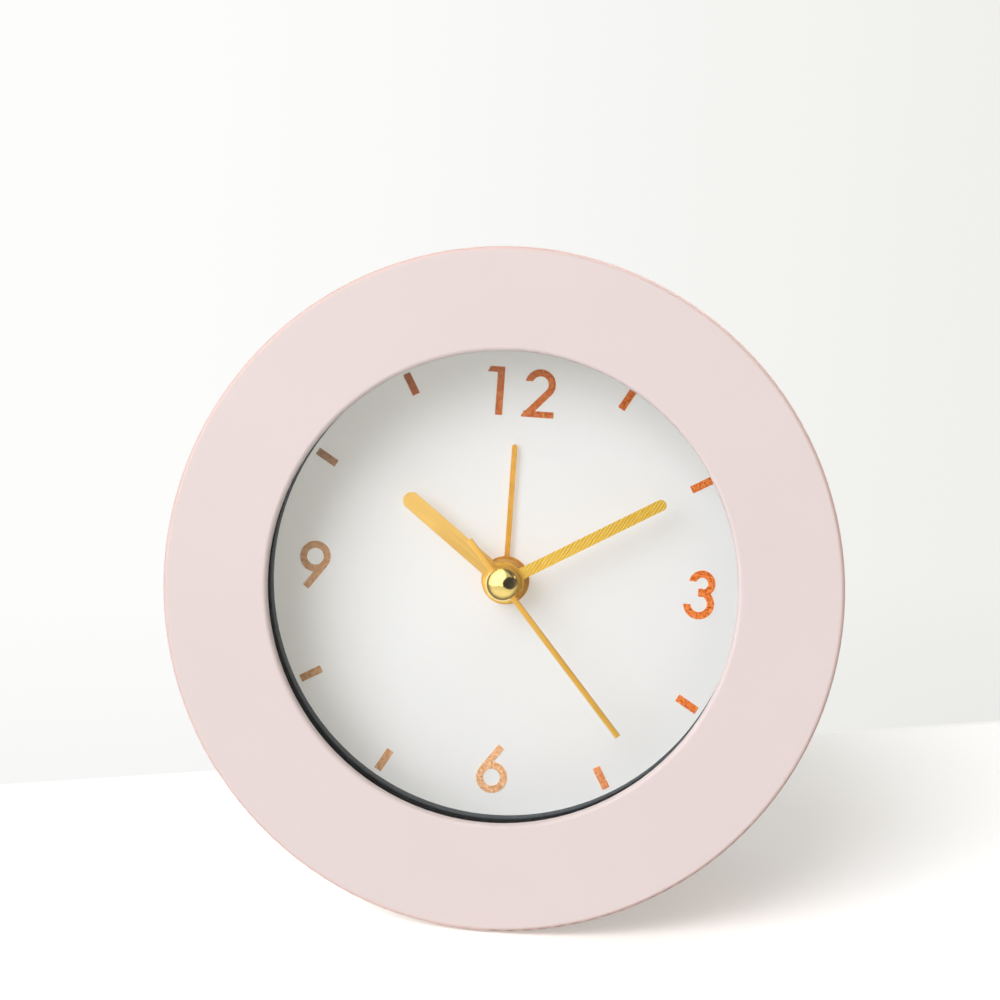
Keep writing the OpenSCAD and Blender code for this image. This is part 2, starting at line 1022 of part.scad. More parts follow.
// First-tooth angles of the gears, each set so that it meshes with its neighbour at rest
function motion_first() = mesh_angle(motion_dir, cannon_teeth, 0, motion_teeth);
function third_first() = mesh_angle(third_dir, second_pinion_teeth, 0, third_teeth);
function fifth_first() = mesh_angle(fifth_dir, second_teeth, 0, fifth_pinion_teeth);

module hour_wheel() {
  color("#e8e4d4")
    on_axis() {
      wheel(1, hour_teeth, hour_module,
            mesh_angle(motion_dir + 180, motion_pinion_teeth, 0, hour_teeth), hour_bore_r);
      slab(hand_depth(1) - hand_t - tube_beyond, level(1) + wheel_t / 2)
        ring_2d(hour_tube_r, hour_bore_r);
    }
}

module motion_wheel() {
  color("#cfd3cc")
    on_axis()
      translate(motion_at) {
        wheel(2, motion_teeth, motion_module, motion_first());
        pinion(1, motion_pinion_teeth, hour_module, 0);
        arbor();
      }
}

module minute_wheel() {
  color("#e8e4d4")
    on_axis() {
      wheel(3, minute_teeth, minute_module,
            mesh_angle(third_dir + 180, third_pinion_teeth, 0, minute_teeth), minute_bore_r);
      pinion(2, cannon_teeth, motion_module, 0, minute_bore_r);
      slab(hand_depth(2) - hand_t - tube_beyond, level(3) + wheel_t / 2)
        ring_2d(minute_tube_r, minute_bore_r);
    }
}

module third_wheel() {
  color("#cfd3cc")
    on_axis()
      translate(third_at) {
        wheel(4, third_teeth, third_module, third_first());
        pinion(3, third_pinion_teeth, minute_module, 0);
        arbor();
      }
}

module second_wheel() {
  color("#d9b95c")
    on_axis() {
      wheel(5, second_teeth, second_module, 0);
      pinion(4, second_pinion_teeth, third_module, 0);
      slab(hand_depth(3) - hand_t - arbor_beyond, case_out - pivot_gap)
        circle(arbor_r);
      slab(case_out - over, case_out + pivot_l - pivot_gap)
        circle(pivot_r);
    }
}

module fifth_wheel() {
  color("#cfd3cc")
    on_axis()
      translate(fifth_at) {
        wheel(6, fifth_teeth, rotor_module, 0);
        pinion(5, fifth_pinion_teeth, second_module, fifth_first());
        arbor();
      }
}

module rotor_pinion() {
  color("#e8e4d4")
    on_axis()
      translate(rotor_at) {
        pinion(6, rotor_teeth, rotor_module,
               mesh_angle(rotor_dir, fifth_teeth, 0, rotor_teeth));
        slab(magnet_depth[1], level(last_level) - pinion_over)
          circle(rotor_hub_r);
        arbor();
      }
}

module rotor_magnet() {
  color("#6a6d70")
    on_axis()
      translate(rotor_at)
        slab(magnet_depth[0], magnet_depth[1])
          ring_2d(magnet_r, arbor_r);
}

// Flat plate with a hole round the magnet and two legs down to the coil's core
module stator() {
  color("#9a9ea2")
    on_axis()
      translate(rotor_at)
        slab(stator_depth, stator_depth + stator_t)
          difference() {
            union() {
              square([2 * stator_half_l, 2 * stator_half_w], center = true);
              for (side = [-1, 1])
                translate([side * (stator_half_l - stator_leg_w / 2), -stator_leg_l / 2])
                  square([stator_leg_w, stator_leg_l], center = true);
            }
            circle(stator_hole_r);
          }
}

module coil_core() {
  color("#9a9ea2")
    on_axis()
      translate(rotor_at - [0, coil_drop])
        slab(stator_depth + stator_t, stator_depth + stator_t + core_t)
          square([2 * stator_half_l, core_w], center = true);
}

// Turns a shape that stands along Z so that it lies along X on the coil's axis
module on_coil() {
  translate(rotor_at - [0, coil_drop])
    translate([0, 0, -(stator_depth + stator_t + core_t / 2)])
      rotate([0, 90, 0])
        children();
}

function coil_half_l() = stator_half_l - stator_leg_w - slack;

module bobbin_tube_2d() {
  square([core_t + 2 * fit + 2 * bobbin_wall, core_w + 2 * fit + 2 * bobbin_wall], center = true);
}

module coil_bobbin() {
  color("#2f6f5a")
    on_axis()
      on_coil()
        difference() {
          union() {
            translate([0, 0, -coil_half_l()])
              linear_extrude(2 * coil_half_l())
                bobbin_tube_2d();
            for (side = [-1, 1])
              translate([0, 0, side * (coil_half_l() - bobbin_wall / 2)])
                cube([bobbin_flange, bobbin_flange, bobbin_wall], center = true);
          }
          cube([core_t + 2 * fit, core_w + 2 * fit, 4 * coil_half_l()], center = true);
        }
}

module coil_winding() {
  half = coil_half_l() - bobbin_wall;
  color("#b86a35")
    on_axis()
      on_coil()
        translate([0, 0, -half])
          linear_extrude(2 * half)
            difference() {
              circle(winding_r);
              bobbin_tube_2d();
            }
}

// Setting shaft with its pinion, through the movement and the cover into its knob
module set_shaft(n, teeth, gear_module, first) {
  pinion(n, teeth, gear_module, first);
  slab(case_in - pivot_l + pivot_gap, case_in + over)
    circle(pivot_r);
  slab(case_in + pivot_gap, knob_front + shaft_in_knob)
    circle(set_shaft_r);
}

module time_set_shaft() {
  color("#dfe0dc")
    on_axis()
      translate(set_at)
        set_shaft(2, set_pinion_teeth, motion_module,
                  mesh_angle(set_dir, motion_teeth, motion_first(), set_pinion_teeth));
}

module alarm_set_shaft() {
  color("#dfe0dc")
    on_axis()
      translate(alarm_set_at)
        set_shaft(0, alarm_pinion_teeth, motion_module,
                  mesh_angle(alarm_dir, alarm_teeth, 0, alarm_pinion_teeth));
}

module alarm_contact_spring() {
  color("#c9a24b")
    on_axis()
      slab(spring_depth, spring_depth + spring_t)
        box_2d([spring_from, spring_y - spring_w / 2], [spring_to, spring_y + spring_w / 2]);
}

module buzzer() {
  color("#26272a")
    on_axis()
      translate(buzzer_at)
        difference() {
          slab(case_out - buzzer_t, case_out)
            circle(buzzer_r);
          slab(case_out - buzzer_t / 2, case_out + over)
            circle(sound_hole_r);
        }
}

module circuit_board() {
  color("#7a5a2c")
    on_axis()
      slab(board_front, board_back)
        box_2d(board_at, board_at + board_size);
}

module drive_chip() {
  dome_r = (chip_r * chip_r + chip_rise * chip_rise) / (2 * chip_rise);
  color("#1b1c1e")
    on_axis()
      translate(board_at + chip_on_board)
        intersection() {
          translate([0, 0, -board_front + chip_rise - dome_r])
            sphere(dome_r);
          slab(board_front - chip_rise - over, board_front)
            circle(chip_r);
        }
}

module quartz_crystal() {
  color("#c4c7ca")
    on_axis()
      translate(board_at + crystal_on_board)
        translate([0, 0, crystal_r - board_front])
          rotate([0, 90, 0])
            cylinder(h = crystal_l, r = crystal_r);
}

// Flat strip from the board through the case's slot and out to the battery's end
module contact_strip(side, inner_x) {
  end = tray_half_l - strip_t;
  translate([0, strip_y - strip_w / 2]) {
    slab(board_back, board_back + strip_t)
      strip_2d(side, inner_x, slot_x + strip_t / 2);
    slab(board_back, rear_back + strip_t)
      strip_2d(side, slot_x - strip_t / 2, slot_x + strip_t / 2);
    slab(rear_back, rear_back + strip_t)
      strip_2d(side, slot_x - strip_t / 2, tray_half_l - slack);
    slab(rear_back, tray_end - over)
      strip_2d(side, end - slack, tray_half_l - slack);
  }
}

module strip_2d(side, from, to) {
  box_2d([min(side * from, side * to), 0], [max(side * from, side * to), strip_w]);
}

module battery_contact_positive() {
  color("#c4c7ca")
    on_axis()
      contact_strip(-1, -board_at[0] - over);
}

module battery_contact_negative() {
  color("#c4c7ca")
    on_axis() {
      contact_strip(1, board_at[0] + board_size[0] - 3 * over);
      translate([0, strip_y - strip_w / 2, 0])
        rotate([-90, 0, 0])
          linear_extrude(strip_w)
            polygon(tongue_points());
    }
}

// Outline of the springy tongue that presses on the cell's flat end, seen from above:
// across, and depth
function tongue_points() =
  let (root = tray_half_l - slack - strip_t, tip = battery_end(), top = tray_end - over)
    [
      [root, top], [tip, battery_depth + strip_t], [tip, battery_depth - strip_t],
      [tip + strip_t, battery_depth - strip_t], [root, top - 2 * over]
    ];

// Battery's ends across the tray: raised end on the left, flat end on the right
function battery_start() = -(tray_half_l - slack - strip_t);
function battery_end() = battery_start() + battery_l;

module lying(from, to, r) {
  translate([from, battery_y, -battery_depth])
    rotate([0, 90, 0])
      cylinder(h = to - from, r = r);
}

module battery() {
  color("#3d7d54")
    on_axis()
      lying(battery_start() + cap_length, battery_end(), battery_d / 2);
}

module battery_cap() {
  color("#c4c7ca")
    on_axis()
      lying(battery_start(), battery_start() + cap_length, cap_radius);
}

front_ring();
lens();
spacer_ring();
dial();
hour_numerals();
hour_bars();
alarm_hand();
hour_hand();
minute_hand();
second_hand();
second_hand_cap();
rear_housing();
foot_pads();
back_cover();
cover_screws();
battery_door();
time_knob();
alarm_knob();
alarm_switch_slider();
switch_contacts();
movement_front_case();
movement_rear_case();
movement_screws();
alarm_wheel();
hour_wheel();
motion_wheel();
minute_wheel();
third_wheel();
second_wheel();
fifth_wheel();
rotor_pinion();
rotor_magnet();
stator();
coil_core();
coil_bobbin();
coil_winding();
time_set_shaft();
alarm_set_shaft();
alarm_contact_spring();
buzzer();
circuit_board();
drive_chip();
quartz_crystal();
battery_contact_positive();
battery_contact_negative();
battery();
battery_cap();
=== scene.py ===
import json
import math

import bpy
from mathutils import Matrix, Vector

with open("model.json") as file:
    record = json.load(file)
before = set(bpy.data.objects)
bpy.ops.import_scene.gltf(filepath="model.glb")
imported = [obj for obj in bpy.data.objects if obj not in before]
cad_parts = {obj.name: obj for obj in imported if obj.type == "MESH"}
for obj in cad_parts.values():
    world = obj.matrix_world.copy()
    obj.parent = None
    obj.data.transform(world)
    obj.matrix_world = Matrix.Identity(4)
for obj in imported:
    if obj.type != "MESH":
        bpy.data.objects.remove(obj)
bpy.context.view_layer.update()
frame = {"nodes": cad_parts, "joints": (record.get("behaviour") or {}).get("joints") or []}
nodes = frame["nodes"]
scene = bpy.context.scene

# The clock's axis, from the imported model. It leans back, and depths run backwards along it from
# the ring's front.
turning = next(j for j in frame["joints"] if j["name"] == "seconds_turn")
ACROSS = Vector((1, 0, 0))
BACKWARD = Vector(turning["axis"]).normalized()
UPWARD = ACROSS.cross(BACKWARD)
LEAN = math.asin(-BACKWARD.z)
CLOCK_ROTATION = (math.pi / 2 - LEAN, 0, 0)
anchor = Vector(turning["pos_m"])
ring_front = min(v.co.dot(BACKWARD) for v in nodes["front_ring"].data.vertices)
FRONT = anchor + BACKWARD * (ring_front - anchor.dot(BACKWARD))


def place(x, y, depth):
    """World point of a place given across, up and backwards from the ring's front, in metres."""
    return FRONT + ACROSS * x + UPWARD * y + BACKWARD * depth


def from_clock(across, up, forward):
    """A direction across, up and towards the viewer, in the world."""
    return Vector((across, 0, 0)) + UPWARD * up - BACKWARD * forward


# The ring's section, in metres: a flat face between two radii, with rounded edges
RING_FLAT_FROM = 0.0352
RING_FLAT_TO = 0.0493
RING_EDGE = 0.04995
RING_ROUNDING = 0.00065
RING_SIDE_TO = 0.0025

# Heights of the black wall, towards the viewer from the ring's front, where its tone changes
WALL_NEAR_DIAL = (-0.0128, -0.0112)
WALL_UNDER_GLASS = (-0.0108, -0.0096)

# Radii round the axis between which the hands' smooth boss ends and their hatching starts
BOSS_END = (0.0033, 0.0042)

SECOND_HAND_HALF_WIDTH = 0.0005
HAND_EDGE = 0.0001
SLEEVE_BAND = (-0.0135, -0.0134)
HAND_ANGLES = {"alarm_hand": 359.9, "hour_hand": 306.6, "minute_hand": 59.6, "second_hand": 138.6}

# Places: the middle of the works, the photograph's standpoint, where the ring meets the table,
# and the line on the table where the photograph has its wall
CENTRE = place(0, 0, 0.011)
STANDPOINT = place(0.01626, 0.02664, -0.29257)
FOOT = place(0.008, -0.05, 0.004)
LINE_FROM = Vector((-0.0848, FRONT.y + 0.0366, 0))
LINE_TO = Vector((0.0986, FRONT.y + 0.1261, 0))
LINE_SOFTNESS = 0.0015
FLOOR_HALF = 20.0

# Light levels
ROOM_LEVEL = 0.06
OVERHEAD_LIGHT = 0.8
FILL_POWER = 29.8
WINDOW_POWER = 38.0
BACK_POWER = 38.0
FLOOR_LAMP_POWER = 33.0
FLOOR_LIFT = 0.335
MIRRORED_ROOM = 0.7
WINDOW_GLOW = 1.9
TABLE_GLOW = 0.5
GLINT_GLOW = 3.0
ROOM_COLOUR = (1.0, 0.97, 0.92, 1)

# Ovals of the room round the clock: degrees to the side and up, half width and half height as
# sines, and how soft the rim is
GLOW = (-56, 38, 0.84, 0.72, 0.15)
TABLE = (-20, -62, 0.85, 0.75, 0.5)
DOORWAY = (38, 12, 0.62, 0.52, 0.12)
DARK_EDGE = (75, 45, 0.2, 0.75, 0.15)
GLINT = (79, 34, 0.05, 0.12, 0.3)
OVERHEAD = (-30, 86, 0.58, 0.58, 0.3)

# Lamps: degrees to the side and up, distance and size in metres
WINDOW = (-37, 27, 2.4, 1.8)
FILL = (-2, 8, 3.0, 0.8)
ABOVE_FLOOR = (-22, 42, 2.4, 1.2)
BEHIND = (150, 35, 2.4, 1.5)
WINDOW_COLOUR = (0.905, 0.915, 1.0)
FILL_COLOUR = (1.0, 0.96, 0.86)


# Node helpers
def add(tree, kind, settings=None, **inputs):
    """A node with its properties and its inputs set, or linked from a socket."""
    n = tree.nodes.new(kind)
    for key, value in (settings or {}).items():
        setattr(n, key, value)
    for key, value in inputs.items():
        name = key.replace("_", " ")
        socket = n.inputs[int(name[1:])] if name[0] == "i" and name[1:].isdigit() else n.inputs[name]
        if isinstance(value, bpy.types.NodeSocket):
            tree.links.new(value, socket)
        else:
            socket.default_value = value
    return n


def numbered(values):
    """Inputs by their order, for a node whose inputs share a name."""
    return {f"i{index}": value for index, value in enumerate(values)}


def number_maths(tree, operation, *values):
    return add(tree, "ShaderNodeMath", {"operation": operation}, **numbered(values)).outputs[0]


def vector_maths(tree, operation, *values):
    """Maths on vectors; the answer of some operations is a number."""
    n = add(tree, "ShaderNodeVectorMath", {"operation": operation}, **numbered(values))
    gives_number = operation in ("DOT_PRODUCT", "LENGTH", "DISTANCE")
    return n.outputs["Value" if gives_number else "Vector"]


def scaled(tree, vector, factor):
    n = add(tree, "ShaderNodeVectorMath", {"operation": "SCALE"}, i0=vector, Scale=factor)
    return n.outputs["Vector"]


def part(tree, vector, axis):
    """A vector's X, Y or Z."""
    return add(tree, "ShaderNodeSeparateXYZ", Vector=vector).outputs[axis]


def clamped(tree, value, low, high):
    return add(tree, "ShaderNodeClamp", Value=value, Min=low, Max=high).outputs[0]


def spread(tree, value, low, high, start=0.3, end=0.7):
    """Maps a value from start to end on to low to high, and no further."""
    return add(tree, "ShaderNodeMapRange", Value=value, From_Min=start, From_Max=end, To_Min=low,
               To_Max=high).outputs[0]


def mix_shaders(tree, factor, a, b):
    return add(tree, "ShaderNodeMixShader", Fac=factor, i1=a, i2=b).outputs[0]


def mix_colour(tree, factor, a, b):
    n = add(tree, "ShaderNodeMix", {"data_type": "RGBA"}, i0=factor)
    for socket, value in ((n.inputs[6], a), (n.inputs[7], b)):
        if isinstance(value, bpy.types.NodeSocket):
            tree.links.new(value, socket)
        else:
            socket.default_value = (*value, 1)
    return n.outputs[2]


def colours(tree, value, stops):
    """Colour ramp through (place, colour) stops."""
    ramp = add(tree, "ShaderNodeValToRGB", Fac=value)
    while len(ramp.color_ramp.elements) < len(stops):
        ramp.color_ramp.elements.new(0.5)
    for element, (at, colour) in zip(ramp.color_ramp.elements, stops):
        element.position = at
        element.color = (*colour, 1)
    return ramp.outputs["Color"]


def shades(tree, value, *tones, start=0.3, end=0.7):
    """Colour ramp through tones that lie evenly apart between two values."""
    step = (end - start) / (len(tones) - 1)
    return colours(tree, value, [(start + step * k, tone) for k, tone in enumerate(tones)])


def noise(tree, vector, scale, detail=3.0, rough=0.5, distortion=0.0):
    return add(tree, "ShaderNodeTexNoise", Vector=vector, Scale=scale, Detail=detail,
               Roughness=rough, Distortion=distortion).outputs["Fac"]


def clock_coordinates(tree, turn=0.0, stretch=(1, 1, 1)):
    """Object coordinates along the clock's own axes, with Z towards the viewer, turned about its
    axis and then stretched."""
    coords = add(tree, "ShaderNodeTexCoord").outputs["Object"]
    along_axes = add(tree, "ShaderNodeMapping", {"vector_type": "TEXTURE"}, Vector=coords,
                     Location=FRONT, Rotation=CLOCK_ROTATION).outputs[0]
    turned = add(tree, "ShaderNodeMapping", {"vector_type": "TEXTURE"}, Vector=along_axes,
                 Rotation=(0, 0, turn)).outputs[0]
    return add(tree, "ShaderNodeMapping", {"vector_type": "POINT"}, Vector=turned,
               Scale=stretch).outputs[0]


def from_axis(tree):
    """Distance from the clock's axis."""
    return vector_maths(tree, "LENGTH", clock_coordinates(tree, 0.0, (1, 1, 0)))


def empty_material(name):
    m = bpy.data.materials.new(name)
    m.use_nodes = True
    m.node_tree.nodes.clear()
    return m, m.node_tree


def new_material(name, **shader_values):
    """A material with one Principled shader; returns the material, its tree and the shader."""
    m, tree = empty_material(name)
    shader = add(tree, "ShaderNodeBsdfPrincipled", **shader_values)
    add(tree, "ShaderNodeOutputMaterial", Surface=shader.outputs[0])
    return m, tree, shader


def bump(tree, shader, height, distance, strength=1.0, under=None):
    """Adds a bump to the shader, over another bump or normal if one is given."""
    n = add(tree, "ShaderNodeBump", Height=height, Distance=distance, Strength=strength)
    if under is not None:
        tree.links.new(under, n.inputs["Normal"])
    tree.links.new(n.outputs[0], shader.inputs["Normal"])
    return n.outputs[0]


def dress(tree, shader, base, roughness, relief, relief_depth, under=None):
    """Gives the shader its colour, roughness and relief."""
    tree.links.new(base, shader.inputs["Base Color"])
    tree.links.new(roughness, shader.inputs["Roughness"])
    return bump(tree, shader, relief, relief_depth, under=under)


# Materials
def plastic(name, base, rough, grain=900.0, grain_depth=4e-6, vary=0.04, **shader_values):
    """Moulded plastic: slow colour drift, fine grain, uneven gloss."""
    m, tree, shader = new_material(name, **shader_values)
    at = clock_coordinates(tree)
    dark = tuple(c * (1 - vary) for c in base)
    light = tuple(min(1.0, c * (1 + vary)) for c in base)
    tone = shades(tree, noise(tree, at, 45.0, 4.0), dark, light)
    gloss = spread(tree, noise(tree, at, 160.0), rough - 0.04, rough + 0.05)
    dress(tree, shader, tone, gloss, noise(tree, at, grain), grain_depth)
    return m


def metal(name, dark, light, rough, stretch):
    """Brushed or rolled metal: streaks along one direction."""
    m, tree, shader = new_material(name, Metallic=1.0)
    streaks = noise(tree, clock_coordinates(tree, 0.0, stretch), 900.0, 4.0, 0.6)
    gloss = spread(tree, streaks, rough - 0.06, rough + 0.08)
    dress(tree, shader, shades(tree, streaks, dark, light), gloss, streaks, 2e-6)
    return m


def ring_normal(tree):
    """The ring's exact normal outside: away from the nearest point of its section less its
    roundings. The seat inside it keeps the mesh's normal."""
    at = clock_coordinates(tree)
    outward = vector_maths(tree, "MULTIPLY", at, Vector((1, 1, 0)))
    reach = vector_maths(tree, "LENGTH", outward)
    kept_reach = clamped(tree, reach, RING_FLAT_FROM, RING_FLAT_TO)
    flat = scaled(tree, outward, number_maths(tree, "DIVIDE", kept_reach, reach))
    kept_forward = clamped(tree, part(tree, at, "Z"), -RING_SIDE_TO, -RING_ROUNDING)
    core = add(tree, "ShaderNodeCombineXYZ", Z=kept_forward).outputs[0]
    away = vector_maths(tree, "SUBTRACT", at, vector_maths(tree, "ADD", flat, core))
    turned = add(tree, "ShaderNodeMapping", {"vector_type": "VECTOR"}, Vector=away,
                 Rotation=CLOCK_ROTATION).outputs[0]
    exact = vector_maths(tree, "NORMALIZE", turned)
    outside = number_maths(tree, "GREATER_THAN", vector_maths(tree, "LENGTH", away),
                           RING_ROUNDING / 2)
    meshed = add(tree, "ShaderNodeNewGeometry").outputs["Normal"]
    return add(tree, "ShaderNodeMix", {"data_type": "VECTOR"}, i0=outside, i4=meshed,
               i5=exact).outputs[1]


def pink_paint(name, on_ring=False):
    """Satin paint with a slight peel and small specks; on the ring, painted bounce light deepens the
    pink at its turned edge.
    """
    m, tree, shader = new_material(name, Specular_IOR_Level=0.42)
    at = clock_coordinates(tree)
    base = shades(tree, noise(tree, at, 30.0, 4.0), (0.778, 0.672, 0.652), (0.798, 0.691, 0.672))
    specks = add(tree, "ShaderNodeTexVoronoi", Vector=at, Scale=95.0,
                 Randomness=1.0).outputs["Distance"]
    base = mix_colour(tree, spread(tree, specks, 1.0, 0.0, 0.012, 0.02), base, (0.62, 0.52, 0.49))
    if on_ring:
        # Painted bounce light: the turned edge is painted a deeper pink, for light bounced between
        # clock and table
        painted_bounce_edge = spread(tree, from_axis(tree), 0.0, 0.85, RING_FLAT_TO, RING_EDGE)
        base = mix_colour(tree, painted_bounce_edge, base, (0.86, 0.56, 0.49))
    gloss = spread(tree, noise(tree, at, 120.0), 0.47, 0.53)
    peel = noise(tree, at, 900.0, 2.0)
    over = dress(tree, shader, base, gloss, peel, 5e-6, ring_normal(tree) if on_ring else None)
    bump(tree, shader, specks, 1e-6, 0.15, over)
    return m


def glass():
    """Clear glass with a faint uneven gloss; it lets light straight through."""
    straight_on = 0.012
    m, tree = empty_material("clear_glass")
    clear = add(tree, "ShaderNodeBsdfTransparent", Color=(0.99, 0.995, 0.993, 1))
    film = spread(tree, noise(tree, clock_coordinates(tree), 60.0, 4.0), 0.01, 0.035)
    shine = add(tree, "ShaderNodeBsdfGlossy", Color=(1, 1, 1, 1), Roughness=film)
    facing = add(tree, "ShaderNodeLayerWeight", Blend=0.5).outputs["Facing"]
    steep = number_maths(tree, "POWER", facing, 5.0)
    edge = number_maths(tree, "MULTIPLY_ADD", steep, 0.96, straight_on)
    both = mix_shaders(tree, edge, clear.outputs[0], shine.outputs[0])
    add(tree, "ShaderNodeOutputMaterial", Surface=both)
    return m


def dial_paper():
    """White board with fibres in its surface."""
    m, tree, shader = new_material("dial_white", Specular_IOR_Level=0.25)
    at = clock_coordinates(tree)
    fibre = noise(tree, at, 2600.0, 4.0, 0.6)
    mottled = shades(tree, noise(tree, at, 40.0), (0.928, 0.928, 0.924), (0.94, 0.94, 0.937))
    tone = mix_colour(tree, spread(tree, fibre, 0.0, 0.35), mottled, (0.91, 0.91, 0.906))
    dress(tree, shader, tone, spread(tree, fibre, 0.55, 0.68), fibre, 2e-6)
    return m


def foil():
    """Hot foil, blotched where it took the dial's texture: deep copper towards the upper right,
    paler towards the lower left, and painted shade makes it duller towards the upper left, where the
    ring's wall shades the dial."""
    m, tree, shader = new_material("copper_foil", Metallic=0.55, Specular_IOR_Level=0.05)
    at = clock_coordinates(tree)
    coarse = noise(tree, at, 2400.0, 4.0, 0.65, 0.6)
    fine = noise(tree, at, 5000.0, 3.0, 0.6)
    blotch = mix_colour(tree, 0.4, coarse, fine)
    deep = shades(tree, blotch, (0.46, 0.08, 0.008), (0.87, 0.21, 0.045), (1.0, 0.4, 0.13),
                  start=0.4, end=0.6)
    pale = shades(tree, blotch, (0.6, 0.29, 0.12), (0.83, 0.45, 0.23), (1.0, 0.66, 0.4),
                  start=0.4, end=0.6)

    def across_dial(x, y, low, high, start, end):
        """A level that changes steadily across the dial in one direction."""
        reach = vector_maths(tree, "DOT_PRODUCT", at, Vector((x, y, 0)))
        return spread(tree, reach, low, high, start, end)

    deepness = across_dial(0.8, 0.6, 0.0, 1.0, -0.013, 0.002)
    # Painted shade: the foil is darker towards the upper left, where the ring's wall shades it
    painted_shade_level = across_dial(0.75, -0.66, 0.52, 1.18, -0.028, 0.028)
    tone = scaled(tree, mix_colour(tree, deepness, pale, deep), painted_shade_level)
    dress(tree, shader, tone, spread(tree, blotch, 0.52, 0.36), blotch, 8e-6)
    return m


def painted_edge_light(tree, base, turn, half_width):
    """Painted highlight and shade along a narrow hand's edges: a pale edge towards the window, and
    dark bands beyond it.
    """
    across = part(tree, clock_coordinates(tree, turn), "Y")
    painted_bevel_bands = colours(tree, spread(tree, across, 0.0, 1.0, -half_width, half_width),
                    [(0.1, (1.0, 1.0, 1.0)), (0.25, (0.9, 0.84, 0.6)), (0.45, (0.94, 0.9, 0.8)),
                     (0.6, (0.8, 0.7, 0.5)), (0.72, (0.94, 0.9, 0.8)), (0.9, (0.6, 0.5, 0.3))])
    # Painted highlight: the edge towards the window is paler
    painted_window_highlight = spread(tree, across, 0.7, 0.0, -half_width, -0.6 * half_width)
    return vector_maths(tree, "MULTIPLY", mix_colour(tree, painted_window_highlight, base, (1.0, 0.85, 0.5)), painted_bevel_bands)


def satin_gold(name, clock_angle, dark, light, half_width=None):
    """Satin gold with faint streaks along the hand, and with painted highlight and shade along its
    edges if it is narrow.
    """
    turn = math.radians(90 - clock_angle)
    m, tree, shader = new_material(name, Metallic=1.0)
    streaks = noise(tree, clock_coordinates(tree, turn, (0.02, 1, 0.02)), 4200.0, 3.0, 0.6)
    drift = noise(tree, clock_coordinates(tree), 260.0)
    tone = mix_colour(tree, 0.6, drift, streaks)
    base = shades(tree, tone, dark, light, start=0.35, end=0.65)
    if half_width:
        base = painted_edge_light(tree, base, turn, half_width)
    dress(tree, shader, base, spread(tree, tone, 0.34, 0.42), tone, 2e-6)
    return m


def hatched_gold(name, clock_angle, slant, pitch, depth, tones):
    """Gold with hatching cut across the hand at a slant, stronger here and weaker there."""
    turn = math.radians(slant - clock_angle)
    m, tree, shader = new_material(name, Metallic=1.0)
    at = clock_coordinates(tree, turn)
    # At a scale of one the bands lie tau / 20 apart
    waves = add(tree, "ShaderNodeTexWave", {"wave_type": "BANDS", "bands_direction": "X"},
                Vector=at, Scale=math.tau / 20 / pitch, Distortion=1.6, Detail=2.0,
                Detail_Scale=2.4).outputs["Fac"]
    scratches = noise(tree, clock_coordinates(tree, turn, (1, 0.22, 1)), 3600.0, 3.0, 0.6)
    amount = spread(tree, noise(tree, at, 900.0, 2.0), 0.1, 0.65)
    cut = mix_colour(tree, amount, scratches, waves)
    past_boss = spread(tree, from_axis(tree), 0.0, 1.0, *BOSS_END)
    cut = mix_colour(tree, past_boss, noise(tree, at, 600.0, 2.0), cut)
    base = shades(tree, cut, *tones, start=0.25, end=0.75)
    dress(tree, shader, base, spread(tree, cut, 0.5, 0.34), cut, depth)
    return m


def polished_brass():
    m, tree, shader = new_material("polished_brass", Metallic=1.0)
    fine = noise(tree, clock_coordinates(tree), 1800.0)
    base = shades(tree, fine, (0.84, 0.63, 0.2), (0.88, 0.68, 0.24))
    dress(tree, shader, base, spread(tree, fine, 0.08, 0.14), fine, 1e-6)
    return m


def black_gloss():
    """Black wall: matt just under the glass, duller than a mirror behind, with dust on it; painted
    lighter near the dial for the white dial's reflection, and given a faint painted glow for glossy
    rays.
    """
    m, tree = empty_material("black_gloss")
    at = clock_coordinates(tree)
    height = part(tree, at, "Z")
    under_glass = spread(tree, height, 0.0, 1.0, *WALL_UNDER_GLASS)
    # Painted reflection: the wall is lighter near the white dial
    painted_dial_light = spread(tree, height, 1.0, 0.0, *WALL_NEAR_DIAL)
    drift = noise(tree, at, 150.0)
    tone = shades(tree, drift, (0.012, 0.015, 0.018), (0.02, 0.025, 0.03))
    tone = mix_colour(tree, painted_dial_light, tone, (0.043, 0.05, 0.056))
    dust = spread(tree, noise(tree, at, 5200.0, 2.0), 0.0, 0.6, 0.67, 0.76)
    dusty = mix_colour(tree, dust, tone, (0.42, 0.44, 0.46))
    body = add(tree, "ShaderNodeBsdfDiffuse",
               Color=mix_colour(tree, under_glass, dusty, (0.004, 0.004, 0.005)))
    relief = add(tree, "ShaderNodeBump", Height=drift, Distance=6e-6, Strength=1.0)
    shine = add(tree, "ShaderNodeBsdfGlossy", Color=(0.7, 0.77, 0.82, 1),
                Roughness=spread(tree, drift, 0.2, 0.32), Normal=relief.outputs[0])
    shininess = spread(tree, under_glass, 0.15, 0.02, 0.0, 1.0)
    wall = mix_shaders(tree, shininess, body.outputs[0], shine.outputs[0])
    # Painted light: the wall glows faintly for glossy rays, so the polished hub mirrors it as a
    # brown line, not a black one
    painted_glow = add(tree, "ShaderNodeEmission", Color=(1.0, 0.9, 0.8, 1), Strength=0.3)
    mirrored = add(tree, "ShaderNodeLightPath").outputs["Is Glossy Ray"]
    add(tree, "ShaderNodeOutputMaterial",
        Surface=mix_shaders(tree, mirrored, wall, painted_glow.outputs[0]))
    return m


